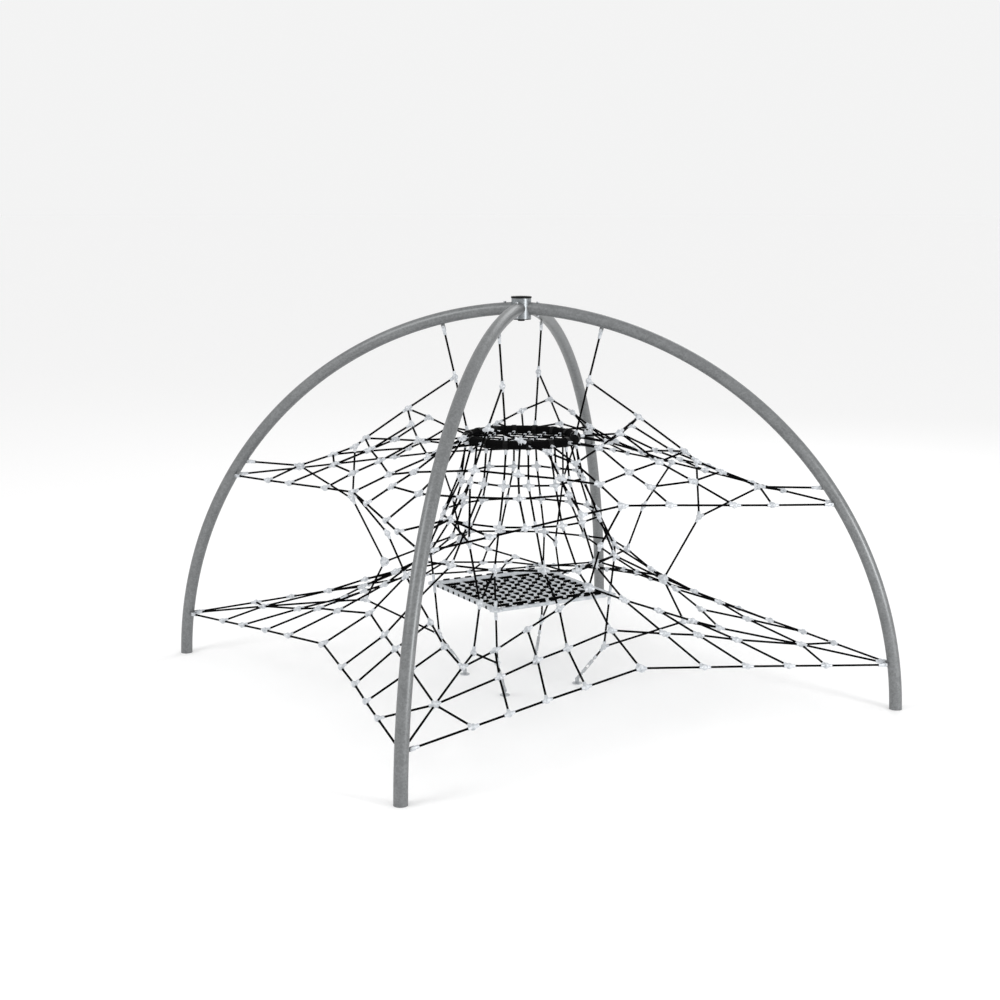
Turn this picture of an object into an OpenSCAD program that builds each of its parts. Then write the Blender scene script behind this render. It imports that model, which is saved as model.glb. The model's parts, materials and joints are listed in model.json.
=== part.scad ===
// Dome climber: four bent steel legs, a crown, a rope net hung in them,
// a round nest in the middle, a woven mat under it and four tie-downs.
// Millimetres, +Z up. The origin is on the ground at the centre of the dome.

/* [Dome] */
// Radius from the centre to a leg's centre line at the ground
dome_r = 3500; // [2900:10:4300]
// Height of the legs' centre lines over the middle
dome_h = 3535; // [2900:5:4300]
// Depth of the centre of each leg's bend below the ground
bend_drop = 84; // [20:1:150]
// Outer diameter of a leg tube
leg_d = 114.3; // [90:0.1:140]
// Wall of a leg tube
leg_wall = 4; // [3:0.5:8]

/* [Crown] */
// Diameter of the crown drum
crown_d = 182; // [165:1:240]
// Height of the crown drum
crown_h = 196; // [150:1:280]
// Wall of the crown drum
crown_wall = 10; // [6:1:16]
// Length of each spigot inside its leg, from the drum's face
spigot_l = 120; // [80:1:200]
// Thickness of the drum's top and bottom covers
cover_t = 7; // [4:1:20]
// Radius of the bolt that holds each leg on its spigot
bolt_r = 8; // [5:0.5:10]

/* [Net] */
// Diameter of the net rope
rope_d = 18; // [12:0.5:22]
// Diameter of the pressed sleeves on the rope ends
sleeve_d = 29; // [24:0.5:36]
// Reach of a sleeve from the middle of its connector
sleeve_l = 54; // [44:1:60]
// Diameter of a connector's body
knot_d = 56; // [48:1:70]
// Diameter of the plate on a big corner connector
plate_d = 88; // [70:1:100]
// Thickness of that plate
plate_t = 16; // [8:1:24]

/* [Leg lugs] */
// Thickness of a lug
lug_t = 12; // [8:1:16]
// Distance from the tube's face to the lug's pin
lug_out = 31; // [25:1:40]
// Radius of the lug's round end
lug_r = 18; // [14:1:20]
// Radius of the shackle pin
pin_r = 6; // [4:0.5:8]
// Height of the three lower lugs of a leg
low_lug_z = 408; // [300:1:500]
// Height of the two canopy edge lugs of a leg
edge_lug_z = 1845; // [1700:5:1900]
// Height of the canopy ridge lug of a leg
ridge_lug_z = 1990; // [1950:5:2200]
// Distance of the nest's hanger lug from the middle
hang_lug_r = 772; // [600:1:900]

/* [Nest] */
// Outer diameter of the nest ring
nest_d = 1110; // [960:5:1250]
// Diameter of the wrapped ring
nest_ring_d = 84; // [60:1:110]
// Height of the nest ring's middle
nest_z = 2335; // [2250:5:2420]
// Distance between the nest's own ropes
nest_pitch = 150; // [120:1:165]
// Diameter of the nest's own ropes
nest_rope_d = 16; // [10:0.5:18]
// Thickness of the clamp bands on the ring
clamp_t = 5; // [3:0.5:8]

/* [Mat] */
// Side of the square mat
mat_side = 1270; // [1000:5:1350]
// Height of the mat's middle
mat_z = 884; // [800:1:950]
// Width of the mat's border bars
mat_bar_w = 52; // [40:1:64]
// Thickness of the mat's border bars
mat_bar_t = 30; // [27:1:40]
// Number of rope runs in the mat
mat_runs = 10; // [8:1:12]
// Diameter of the mat's ropes
mat_rope_d = 20; // [14:1:22]
// Distance between the clips along one rope run
mat_clip_pitch = 192; // [160:1:260]
// Width of a mat clip along the rope
mat_clip_w = 34; // [20:1:44]

/* [Tie-downs] */
// Distance of a ground anchor from the middle
anchor_r = 556; // [450:1:600]
// Radius of a ground anchor's round base
anchor_base_r = 46; // [40:1:80]
// Length of the turnbuckle barrel
barrel_l = 150; // [110:1:160]
// Diameter of the turnbuckle barrel
barrel_d = 32; // [26:1:40]
// Radius of the turnbuckle's screwed ends
screw_r = 8; // [6:0.5:10]

/* [Fits] */
// Gap between pieces that rest on each other
gap = 0.3; // [0.2:0.05:0.5]
// Radial running gap of the barrel on its screws
run_gap = 0.08; // [0.02:0.01:0.1]
// Side gap of a shackle on its lug
fork_gap = 0.5; // [0.3:0.1:0.9]

/* [Hidden] */
$fn = 48;
// Centre and radius of the bend of a leg's centre line, in the leg's own plane
bend_x = (dome_r * dome_r + bend_drop * bend_drop
          - (dome_h + bend_drop) * (dome_h + bend_drop)) / (2 * dome_r);
bend_r = sqrt((dome_r - bend_x) * (dome_r - bend_x) + bend_drop * bend_drop);
function leg_x(z) = bend_x + sqrt(bend_r * bend_r - (z + bend_drop) * (z + bend_drop));
function leg_z(x) = sqrt(bend_r * bend_r - (x - bend_x) * (x - bend_x)) - bend_drop;
function bend_at(x) = acos((x - bend_x) / bend_r);

// The net is drawn in one eighth of the dome, from a leg's plane (y = 0) to the
// plane between two legs (x = y). Mirrors and quarter turns make the rest.
// Each point is given in hundredths of the dome's radius and of its height.
hx = dome_r / 100;
hz = dome_h / 101;
P = 0; N1 = 1; N2 = 2; N3 = 3; N4 = 4; N5 = 5; G = 6;
M4 = 7; M3 = 8; M2 = 9; M1 = 10; T = 11;
A3 = 12; A2 = 13; A1 = 14; B3 = 15; B2 = 16; B1 = 17; D3 = 18; D2 = 19; D1 = 20;
E1 = 21; E2 = 22; E3 = 23; E4 = 24; S = 25; H = 26; A = 27; L = 28; I = 29; D = 30;
K = 31; C = 32; V = 33; W4 = 34; Q4 = 35; F5 = 36;
F1 = 37; F2 = 38; F3 = 39; F4 = 40; Q1 = 41; Q2 = 42; Q3 = 43; W1 = 44; W2 = 45; W3 = 46;
HANG = 47; RIDGE = 48; EDGE = 49; LOWR = 50; LOWE = 51;
NA = 52; NB = 53; ND = 54; MC = 55; TB = 56;
SHARE = [
  [18.3, 0, 82.3], [31.8, 0, 73.3], [44.1, 0, 64.7], [47.1, 0, 62.3],
  [53.6, 0, 59.8], [63.6, 0, 56.3], [48.1, 0, 47.6],
  [39, 0, 30.4], [44.7, 0, 19.3], [54.1, 0, 18.2], [75.5, 0, 15.3], [23.2, 0, 10.8],
  [17.1, 0, 56.3], [21.4, 0, 46.3], [25.8, 0, 36],
  [14.8, 6, 56.3], [19, 9.1, 46.3], [23.2, 12.3, 36],
  [12.6, 12.6, 56.3], [15.1, 15.1, 46.3], [20.6, 20.6, 36],
  [68.3, 11.1, 53.7], [59.6, 17.1, 54.3], [45.3, 27.2, 55.4], [34.7, 34.7, 56.1],
  [48.4, 12.6, 59.1], [39, 9.8, 63.2], [28.2, 7.4, 70.1],
  [39.2, 22.7, 58.9], [33.1, 18.9, 61.7], [24.3, 13.4, 66.8],
  [27.5, 27.5, 59.8], [19.5, 19.5, 63.4], [28, 28, 44.5],
  [24.3, 24.3, 32.7], [31.7, 31.7, 24], [41.1, 41.1, 17.6],
  [82.9, 11.3, 13.3], [74.3, 17.3, 14.2], [64.7, 23.7, 15.1], [55.1, 30.8, 16.1],
  [60.1, 11, 18.3], [51.4, 18, 20.7], [43.7, 23.5, 21.9],
  [48, 6.5, 21.3], [40.1, 12.5, 25], [32.2, 18.6, 28.7]
];
N_KNOTS = len(SHARE);

nest_c = nest_d / 2 - nest_ring_d / 2;
mat_corner = mat_side / sqrt(2) - mat_bar_w / sqrt(2);
mid_az = 22.4;
anchor_hole_z = 46;
anchor_p = [anchor_r, 0, anchor_hole_z];

// Place of every net point, in millimetres
function pos(i) =
  i < N_KNOTS ? [SHARE[i].x * hx, SHARE[i].y * hx, SHARE[i].z * hz] :
  i == HANG ? [hang_lug_r, 0, leg_z(hang_lug_r)] :
  i == RIDGE ? [leg_x(ridge_lug_z), 0, ridge_lug_z] :
  i == EDGE ? [leg_x(edge_lug_z), 0, edge_lug_z] :
  i == LOWR || i == LOWE ? [leg_x(low_lug_z), 0, low_lug_z] :
  i == NA ? [nest_c, 0, nest_z] :
  i == NB ? [nest_c * cos(mid_az), nest_c * sin(mid_az), nest_z] :
  i == ND ? [nest_c * cos(45), nest_c * sin(45), nest_z] :
  i == MC ? [mat_corner, 0, mat_z] : anchor_p;

// Where the rope itself starts, measured from the net point
lug_reach = leg_d / 2 + lug_out;
fork_l = 72;
clamp_r = nest_ring_d / 2 + clamp_t;
clamp_l = clamp_r + 42;
corner_r = 58;
corner_l = corner_r + 34;
tie_len = norm(pos(T) - anchor_p);
tie_rope_l = 60;
function reach(i) =
  i < N_KNOTS ? sleeve_l :
  i <= LOWE ? lug_reach + fork_l :
  i <= ND ? clamp_l :
  i == MC ? corner_l : tie_len - sleeve_l - tie_rope_l;

HANGERS = [[HANG, P], [P, NA]];
RIDGE_UP = [[P, N1], [N1, N2], [N2, N3], [N3, N4], [N4, N5], [N5, RIDGE]];
EDGE_UP = [[EDGE, E1], [E1, E2], [E2, E3], [E3, E4], [N5, E1]];
ROWS_UP = [[N1, A], [A, D], [D, C], [N2, H], [H, I], [I, K], [N4, S], [S, L]];
SPOKES_UP = [[E2, S], [S, H], [H, A], [E3, L], [L, I], [I, D], [D, NB],
             [E4, K], [K, C], [C, ND]];
DROPS = [[N3, G], [G, N5], [G, M4], [E4, V], [V, W4]];
UPRIGHTS = [[NA, A3], [A3, A2], [A2, A1], [NB, B3], [B3, B2], [B2, B1], [B1, W3],
            [ND, D3], [D3, D2], [D2, D1], [D1, W4]];
HOOPS = [[A3, B3], [B3, D3], [A2, B2], [B2, D2], [A1, B1], [B1, D1]];
RIDGE_LOW = [[LOWR, M1], [M1, M2], [M2, M3], [M3, M4], [M4, A1]];
EDGE_LOW = [[LOWE, F1], [F1, F2], [F2, F3], [F3, F4], [F4, F5]];
ROWS_LOW = [[M1, F1], [M1, Q1], [Q1, Q2], [Q2, Q3], [Q3, Q4],
            [M2, W1], [W1, W2], [W2, W3], [W3, W4]];
SPOKES_LOW = [[F2, Q1], [Q1, W1], [F3, Q2], [Q2, W2], [F4, Q3], [Q3, W3],
              [F5, Q4], [Q4, W4]];
MAT_ROPES = [[A1, MC], [MC, T]];
TIE_ROPES = [[M3, T], [T, TB]];
LINKS = concat(HANGERS, RIDGE_UP, EDGE_UP, ROWS_UP, SPOKES_UP, DROPS, UPRIGHTS, HOOPS,
               RIDGE_LOW, EDGE_LOW, ROWS_LOW, SPOKES_LOW, MAT_ROPES, TIE_ROPES);

RIDGE_KNOTS = [P, N1, N2, N3, N4, N5];
EDGE_KNOTS = [E1, E2, E3];
TOP_MESH_KNOTS = [A];
MESH_KNOTS = [D, H, I, S, L, K, C];
DROP_KNOTS = [G, V];
COLUMN_KNOTS = [A3, A2, A1, B3, B2, B1, D3, D2, D1];
LOW_RIDGE_KNOTS = [M1, M2, M3];
LOW_EDGE_KNOTS = [F1, F2, F3, F4];
LOW_MESH_KNOTS = [Q1, Q2, Q3, Q4];
LOW_INNER_KNOTS = [W1, W2, W3];
PLATE_KNOTS = [E4, M4, W4, F5];

// ---- helpers

function in_leg_plane(p) = abs(p.y) < 0.001;
function in_mid_plane(p) = abs(p.x - p.y) < 0.001;
function unit(v) = v / norm(v);

// Turns +X to the direction v, with the local Y axis level
module along(v) {
  rotate([0, -atan2(v.z, norm([v.x, v.y])), atan2(v.y, v.x)]) children();
}

// A round bar on the X axis
module bar(r, x0, x1) {
  translate([x0, 0, 0]) rotate([0, 90, 0]) cylinder(r = r, h = x1 - x0);
}

// Four quarter turns, and the mirrored four where the piece isn't its own mirror image
module around(single) {
  for (q = [0 : 3]) rotate([0, 0, 90 * q]) {
    children();
    if (!single) mirror([0, 1, 0]) children();
  }
}

// The straight rope of one link, between the two sleeves that hold it
module rope(link) {
  a = pos(link[0]);
  b = pos(link[1]);
  single = (in_leg_plane(a) && in_leg_plane(b)) || (in_mid_plane(a) && in_mid_plane(b));
  around(single) translate(a) along(b - a)
    bar(rope_d / 2, reach(link[0]), norm(b - a) - reach(link[1]));
}
module ropes(links) { for (l = links) rope(l); }

// The far ends of all links at point i, with those mirrored in its own plane
function far(i) = [for (l = LINKS) if (l[0] == i || l[1] == i) pos(l[0] == i ? l[1] : l[0])];
function ends(i) = let (p = pos(i), f = far(i)) concat(f,
  in_leg_plane(p) ? [for (o = f) if (!in_leg_plane(o)) [o.x, -o.y, o.z]] : [],
  in_mid_plane(p) ? [for (o = f) if (!in_mid_plane(o)) [o.y, o.x, o.z]] : []);

// A pressed connector: a round body with one sleeve for each rope. The body's own axis is
// upright or, where tilted, on a slant between the sleeves and rolled on it, so that its poles
// and its seam stay clear of them
sleeve_in = sqrt(knot_d * knot_d - sleeve_d * sleeve_d) / 2 - 2;
module knot(i, plate, tilted, roll) {
  p = pos(i);
  e = ends(i);
  slant = unit(e[0] - p) + 0.3 * unit(e[1] - p) + 0.9 * unit(e[len(e) - 1] - p);
  around(in_leg_plane(p) || in_mid_plane(p)) translate(p) {
    if (tilted) along(slant) rotate([roll, 90, 0]) sphere(d = knot_d);
    else sphere(d = knot_d);
    for (o = e) along(o - p) bar(sleeve_d / 2, sleeve_in, sleeve_l);
    if (plate) {
      n = unit(cross(unit(e[0] - p), unit(e[len(e) - 1] - p)));
      along(n) bar(plate_d / 2, -plate_t / 2, plate_t / 2);
    }
  }
}
module knots(list, plate = false, tilted = false, roll = 0) {
  for (i = list) knot(i, plate, tilted, roll);
}

// ---- legs and crown

// A length of the leg's bend with the given section, between two distances from the middle
module bend(r, t0, t1) {
  translate([bend_x, 0, -bend_drop]) rotate([90, 0, 0]) rotate([0, 0, t0])
    rotate_extrude(angle = t1 - t0, $fn = 720) translate([bend_r, 0]) circle(r = r, $fn = 48);
}
module lug(v) {
  along(v) {
    translate([0, -lug_t / 2, -lug_r]) cube([lug_reach, lug_t, 2 * lug_r]);
    translate([lug_reach, lug_t / 2, 0]) rotate([90, 0, 0]) cylinder(r = lug_r, h = lug_t);
  }
}
module lug_hole(v) {
  along(v) translate([lug_reach, lug_t, 0]) rotate([90, 0, 0])
    cylinder(r = pin_r + gap, h = 2 * lug_t);
}
function flip(v) = [v.x, -v.y, v.z];
LUGS = [[HANG, P, false], [RIDGE, N5, false], [EDGE, E1, false], [EDGE, E1, true],
        [LOWR, M1, false], [LOWE, F1, false], [LOWE, F1, true]];
function lug_dir(l) = let (v = pos(l[1]) - pos(l[0])) l[2] ? flip(v) : v;

leg_start = asin((bend_drop - 8) / bend_r);
bolt_x = crown_d / 2 + spigot_l * 0.55;
// How far a flat bolt head stands off the middle of the sloping tube
bolt_seat = bolt_r * 1.7 * tan(asin(bolt_x / bend_r)) + 1;
module bolt_line(r, h0, h1) {
  translate([bolt_x, 0, leg_z(bolt_x) + h0]) cylinder(r = r, h = h1 - h0);
}
module leg(q) {
  rotate([0, 0, 90 * q]) difference() {
    union() {
      bend(leg_d / 2, leg_start, bend_at(crown_d / 4));
      for (l = LUGS) translate(pos(l[0])) lug(lug_dir(l));
    }
    bend(leg_d / 2 - leg_wall, leg_start - 1, bend_at(crown_d / 4) + 1);
    for (l = LUGS) translate(pos(l[0])) lug_hole(lug_dir(l));
    translate([dome_r - leg_d, -leg_d, -leg_d]) cube([2 * leg_d, 2 * leg_d, leg_d]);
    translate([0, 0, dome_h - leg_d]) cylinder(d = crown_d + 2 * gap, h = 2 * leg_d);
    bolt_line(bolt_r + gap, -leg_d, leg_d);
  }
}
module crown_drum() {
  color("silver") difference() {
    union() {
      translate([0, 0, dome_h - crown_h / 2]) cylinder(d = crown_d, h = crown_h);
      for (q = [0 : 3]) rotate([0, 0, 90 * q])
        bend(leg_d / 2 - leg_wall - gap, bend_at(crown_d / 2 + spigot_l),
             bend_at(crown_d / 2 - crown_wall / 2));
    }
    translate([0, 0, dome_h - crown_h]) cylinder(d = crown_d - 2 * crown_wall, h = 2 * crown_h);
    for (q = [0 : 3]) rotate([0, 0, 90 * q]) bolt_line(bolt_r + gap, -leg_d, leg_d);
  }
}
module crown_top_cover() {
  color("black") translate([0, 0, dome_h + crown_h / 2]) {
    cylinder(d = crown_d + 8, h = cover_t);
    translate([0, 0, cover_t]) cylinder(d = crown_d * 0.55, h = 3);
  }
}
module crown_bottom_cover() {
  color("black") translate([0, 0, dome_h - crown_h / 2 - cover_t]) {
    cylinder(d = crown_d, h = cover_t);
    translate([0, 0, -14]) cylinder(d = crown_d * 0.35, h = 14);
  }
}
module crown_bolts() {
  seat = leg_d / 2 + bolt_seat;
  color("silver") for (q = [0 : 3]) rotate([0, 0, 90 * q]) {
    bolt_line(bolt_r, -seat - bolt_r - 6, seat);
    bolt_line(bolt_r * 1.7, seat, seat + bolt_r * 1.2);
    bolt_line(bolt_r * 1.7, -seat - bolt_r, -seat);
  }
}

// ---- shackles

// A fork with its pin hole at the origin and its rope sleeve along +X
module fork() {
  half = lug_t / 2 + fork_gap;
  difference() {
    union() {
      translate([0, half + 6, 0]) rotate([90, 0, 0]) cylinder(r = lug_r - 2, h = 2 * half + 12);
      translate([0, -half - 6, -lug_r + 2]) cube([lug_r + 18, 2 * half + 12, 2 * lug_r - 4]);
      bar(sleeve_d / 2, lug_r + 10, fork_l);
    }
    translate([-2 * lug_r, -half, -lug_r]) cube([3 * lug_r + 4, 2 * half, 2 * lug_r]);
    translate([0, 2 * lug_t, 0]) rotate([90, 0, 0]) cylinder(r = pin_r + gap, h = 4 * lug_t);
  }
}
module fork_pin() {
  half = lug_t / 2 + fork_gap + 6;
  translate([0, half, 0]) rotate([90, 0, 0]) cylinder(r = pin_r, h = 2 * half);
  for (s = [-1, 1]) translate([0, s * (half + 2) + 2, 0]) rotate([90, 0, 0])
    cylinder(r = pin_r + 4, h = 4);
}
module at_lugs() {
  for (q = [0 : 3]) rotate([0, 0, 90 * q]) for (l = LUGS)
    translate(pos(l[0])) along(lug_dir(l)) translate([lug_reach, 0, 0]) children();
}
module leg_shackles() { color("silver") at_lugs() fork(); }
module leg_shackle_pins() { color("gray") at_lugs() fork_pin(); }

// ---- nest

module nest_ring() {
  color([0.1, 0.1, 0.11]) translate([0, 0, nest_z]) rotate_extrude($fn = 96)
    translate([nest_c, 0]) circle(d = nest_ring_d, $fn = 48);
}
module clamp(i) {
  p = pos(i);
  e = ends(i);
  band = 42 / nest_c * 180 / PI;
  difference() {
    union() {
      translate([0, 0, p.z]) rotate([0, 0, atan2(p.y, p.x) - band / 2])
        rotate_extrude(angle = band, $fn = 96) translate([nest_c, 0]) circle(r = clamp_r);
      translate(p) for (o = e) along(o - p) bar(sleeve_d / 2, 0, clamp_l);
    }
    translate([0, 0, p.z]) rotate([0, 0, atan2(p.y, p.x) - 2 * band])
      rotate_extrude(angle = 4 * band, $fn = 96)
      translate([nest_c, 0]) circle(r = nest_ring_d / 2 + gap);
  }
}
module nest_clamps() {
  color("lightgray") {
    around(true) clamp(NA);
    around(false) clamp(NB);
    around(true) clamp(ND);
  }
}
nest_in = nest_c - nest_ring_d / 2;
nest_clip_r = nest_rope_d / 2 + 5;
nest_half = 2;
module nest_net_ropes() {
  color([0.1, 0.1, 0.11]) translate([0, 0, nest_z]) for (turn = [0, 90]) rotate([0, 0, turn])
    for (j = [-nest_half : nest_half]) translate([0, j * nest_pitch, 0]) {
      for (k = [-nest_half : nest_half - 1])
        bar(nest_rope_d / 2, k * nest_pitch + nest_clip_r, (k + 1) * nest_pitch - nest_clip_r);
      reach_x = sqrt(nest_in * nest_in - j * j * nest_pitch * nest_pitch) + 8;
      for (s = [0, 180]) rotate([0, 0, s])
        bar(nest_rope_d / 2, nest_half * nest_pitch + nest_clip_r, reach_x);
    }
}
module nest_net_clips() {
  color("lightgray") translate([0, 0, nest_z])
    for (j = [-nest_half : nest_half], k = [-nest_half : nest_half])
      translate([k * nest_pitch, j * nest_pitch, 0]) intersection() {
        sphere(r = nest_clip_r * 1.35);
        cube(2 * nest_clip_r, center = true);
      }
}

// ---- mat: drawn square to X and Y, then turned so that its corners face the legs

mat_in = mat_side / 2 - mat_bar_w;
mat_pitch = 2 * mat_in / (mat_runs + 1);
module mat_frame() { translate([0, 0, mat_z]) rotate([0, 0, 45]) children(); }
module mat_border() {
  color("lightgray") mat_frame() difference() {
    translate([0, 0, -mat_bar_t / 2]) linear_extrude(mat_bar_t) difference() {
      square(mat_side, center = true);
      square(2 * mat_in, center = true);
    }
    for (q = [0 : 3]) rotate([0, 0, 45 + 90 * q]) translate([mat_corner, 0, -mat_bar_t])
      cylinder(r = corner_r + gap, h = 2 * mat_bar_t);
  }
}
module mat_corners() {
  p = pos(MC);
  color("silver") around(true) translate(p) {
    translate([0, 0, -9]) cylinder(r = corner_r, h = 18);
    for (o = ends(MC)) along(o - p) bar(sleeve_d / 2, 0, corner_l);
  }
}
function run_y(j) = (j - (mat_runs - 1) / 2) * mat_pitch;
module mat_rope_runs() {
  color([0.1, 0.1, 0.11]) mat_frame() for (j = [0 : mat_runs - 1])
    translate([0, run_y(j), 0]) bar(mat_rope_d / 2, -mat_in, mat_in);
}
// A clip joins two neighbouring rope runs; the clips are staggered from row to row
clip_r = mat_rope_d / 2 + 4;
function clip_count(j) = floor((mat_in - mat_clip_w - (j % 2) * mat_clip_pitch / 2) / mat_clip_pitch);
module clip() {
  difference() {
    union() {
      for (y = [0, mat_pitch]) translate([0, y, 0]) bar(clip_r, -mat_clip_w / 2, mat_clip_w / 2);
      translate([-mat_clip_w / 2, 0, -clip_r + 5]) cube([mat_clip_w, mat_pitch, 2 * clip_r - 10]);
    }
    for (y = [0, mat_pitch]) translate([0, y, 0])
      bar(mat_rope_d / 2 + gap, -mat_clip_w, mat_clip_w);
  }
}
module mat_clips() {
  color("lightgray") mat_frame() for (j = [0 : mat_runs - 2]) {
    shift = (j % 2) * mat_clip_pitch / 2;
    for (k = [-clip_count(j) - (j % 2) : clip_count(j)])
      translate([k * mat_clip_pitch + shift, run_y(j), 0]) clip();
  }
}
// Short stitches of rope on the two border bars that run with the ropes
lace_d = 14;
lace_n = 4;
module mat_lacing() {
  color([0.1, 0.1, 0.11]) mat_frame() for (s = [-1, 1], k = [-lace_n : lace_n])
    translate([k * mat_clip_pitch * 0.62, s * (mat_in + mat_bar_w / 2),
               mat_bar_t / 2 + lace_d / 2 + gap])
      bar(lace_d / 2, -32, 32);
}

// ---- tie-downs, along the line from the tie knot to the ground anchor

tie_v = anchor_p - pos(T);
tie_fork_x = tie_len - fork_l;
barrel_x = sleeve_l + tie_rope_l + 66;
module on_tie(q) { rotate([0, 0, 90 * q]) translate(pos(T)) along(tie_v) children(); }
module tie_upper_screws() {
  color("silver") for (q = [0 : 3]) on_tie(q) {
    bar(sleeve_d / 2, sleeve_l + tie_rope_l, sleeve_l + tie_rope_l + 38);
    bar(screw_r, sleeve_l + tie_rope_l + 38, barrel_x + barrel_l * 0.3);
  }
}
module tie_lower_screws() {
  color("silver") for (q = [0 : 3]) on_tie(q) {
    bar(screw_r, barrel_x + barrel_l * 0.7, tie_fork_x + 6);
    translate([tie_len, 0, 0]) rotate([0, 180, 0]) fork();
  }
}
module tie_pins() { color("gray") for (q = [0 : 3]) on_tie(q) translate([tie_len, 0, 0]) fork_pin(); }
module barrel(q) {
  on_tie(q) difference() {
    bar(barrel_d / 2, barrel_x, barrel_x + barrel_l);
    bar(screw_r + run_gap, barrel_x - 1, barrel_x + barrel_l + 1);
    translate([barrel_x + barrel_l * 0.36, -barrel_d, -barrel_d * 0.3])
      cube([barrel_l * 0.28, 2 * barrel_d, barrel_d * 0.6]);
  }
}
module ground_anchors() {
  color("gray") for (q = [0 : 3]) rotate([0, 0, 90 * q]) translate([anchor_r, 0, 0]) difference() {
    union() {
      cylinder(r = anchor_base_r, h = 8);
      translate([-lug_r, -lug_t / 2, 7]) cube([2 * lug_r, lug_t, anchor_hole_z - 7]);
      translate([0, lug_t / 2, anchor_hole_z]) rotate([90, 0, 0]) cylinder(r = lug_r, h = lug_t);
    }
    translate([0, lug_t, anchor_hole_z]) rotate([90, 0, 0])
      cylinder(r = pin_r + gap, h = 2 * lug_t);
  }
}

// ---- net pieces by name

module black() { color([0.08, 0.08, 0.09]) children(); }
module alloy() { color([0.78, 0.79, 0.82]) children(); }

color("gray") leg(0);  // leg_east
color("gray") leg(1);  // leg_north
color("gray") leg(2);  // leg_west
color("gray") leg(3);  // leg_south
crown_drum();
crown_top_cover();
crown_bottom_cover();
crown_bolts();
leg_shackles();
leg_shackle_pins();
black() ropes(HANGERS);  // hanger_ropes
black() ropes(RIDGE_UP);  // canopy_ridge_ropes
black() ropes(EDGE_UP);  // canopy_edge_ropes
black() ropes(ROWS_UP);  // canopy_row_ropes
black() ropes(SPOKES_UP);  // canopy_spoke_ropes
black() ropes(DROPS);  // drop_ropes
black() ropes(UPRIGHTS);  // column_uprights
black() ropes(HOOPS);  // column_hoops
black() ropes(RIDGE_LOW);  // lower_ridge_ropes
black() ropes(EDGE_LOW);  // lower_edge_ropes
black() ropes(ROWS_LOW);  // lower_row_ropes
black() ropes(SPOKES_LOW);  // lower_spoke_ropes
black() ropes(MAT_ROPES);  // mat_hanging_ropes
black() ropes(TIE_ROPES);  // tie_ropes
alloy() knots(RIDGE_KNOTS);  // canopy_ridge_knots
alloy() knots(EDGE_KNOTS);  // canopy_edge_knots
alloy() {  // canopy_mesh_knots
  knots(TOP_MESH_KNOTS, tilted = true, roll = 90);
  knots(MESH_KNOTS, tilted = true);
}
alloy() knots(DROP_KNOTS);  // drop_knots
alloy() knots(COLUMN_KNOTS);  // column_knots
alloy() knots(LOW_RIDGE_KNOTS);  // lower_ridge_knots
alloy() knots(LOW_EDGE_KNOTS);  // lower_edge_knots
alloy() knots(LOW_MESH_KNOTS, tilted = true);  // lower_mesh_knots
alloy() knots(LOW_INNER_KNOTS, tilted = true);  // lower_inner_knots
alloy() knots(PLATE_KNOTS, true);  // corner_plates
alloy() knots([T]);  // tie_knots
nest_ring();
nest_clamps();
nest_net_ropes();
nest_net_clips();
mat_border();
mat_corners();
mat_rope_runs();
mat_clips();
mat_lacing();
tie_upper_screws();
tie_lower_screws();
tie_pins();
ground_anchors();
color("silver") barrel(0);  // barrel_east
color("silver") barrel(1);  // barrel_north
color("silver") barrel(2);  // barrel_west
color("silver") barrel(3);  // barrel_south
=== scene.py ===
"""Looks of a dome climber: four bent steel legs, a slung rope net, a nest seat and a rope mat.

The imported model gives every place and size. Each class below dresses one sub-assembly of it:
ropes are swept as laid strands, connectors get their pressed rims, the nest ring its wound
cord, and each piece its own finish.
"""
from __future__ import annotations

import json
import logging
import math
from dataclasses import dataclass, field
from enum import Enum
from typing import Any, Sequence

import bmesh
import bpy
import numpy as np
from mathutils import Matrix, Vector

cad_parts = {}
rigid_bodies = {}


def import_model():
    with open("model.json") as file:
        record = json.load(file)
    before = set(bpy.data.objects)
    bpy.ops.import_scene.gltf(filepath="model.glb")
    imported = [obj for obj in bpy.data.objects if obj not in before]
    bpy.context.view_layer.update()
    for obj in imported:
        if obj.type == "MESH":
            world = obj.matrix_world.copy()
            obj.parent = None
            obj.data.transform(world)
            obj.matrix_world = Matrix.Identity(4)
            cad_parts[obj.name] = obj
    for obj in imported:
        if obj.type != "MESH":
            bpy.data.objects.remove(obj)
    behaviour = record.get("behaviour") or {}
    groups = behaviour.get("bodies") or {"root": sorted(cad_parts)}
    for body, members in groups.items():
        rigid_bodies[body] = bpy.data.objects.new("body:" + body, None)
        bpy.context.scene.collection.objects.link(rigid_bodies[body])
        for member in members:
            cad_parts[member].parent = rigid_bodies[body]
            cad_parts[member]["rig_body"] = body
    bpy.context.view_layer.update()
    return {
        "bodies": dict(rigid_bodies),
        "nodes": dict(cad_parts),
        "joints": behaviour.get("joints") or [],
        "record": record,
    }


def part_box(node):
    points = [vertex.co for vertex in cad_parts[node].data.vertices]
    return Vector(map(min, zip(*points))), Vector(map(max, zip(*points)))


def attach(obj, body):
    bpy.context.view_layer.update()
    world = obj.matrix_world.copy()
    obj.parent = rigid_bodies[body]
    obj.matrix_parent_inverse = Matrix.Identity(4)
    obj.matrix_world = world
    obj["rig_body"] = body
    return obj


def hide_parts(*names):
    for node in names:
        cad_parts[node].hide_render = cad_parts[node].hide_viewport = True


LOG = logging.getLogger("dome_climber")
MM = 0.001
MERGE = 0.02 * MM
NO_LENGTH = 0.01 * MM
FLAT_ANGLE = math.radians(0.5)
Axis = tuple[Vector, Vector]


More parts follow.
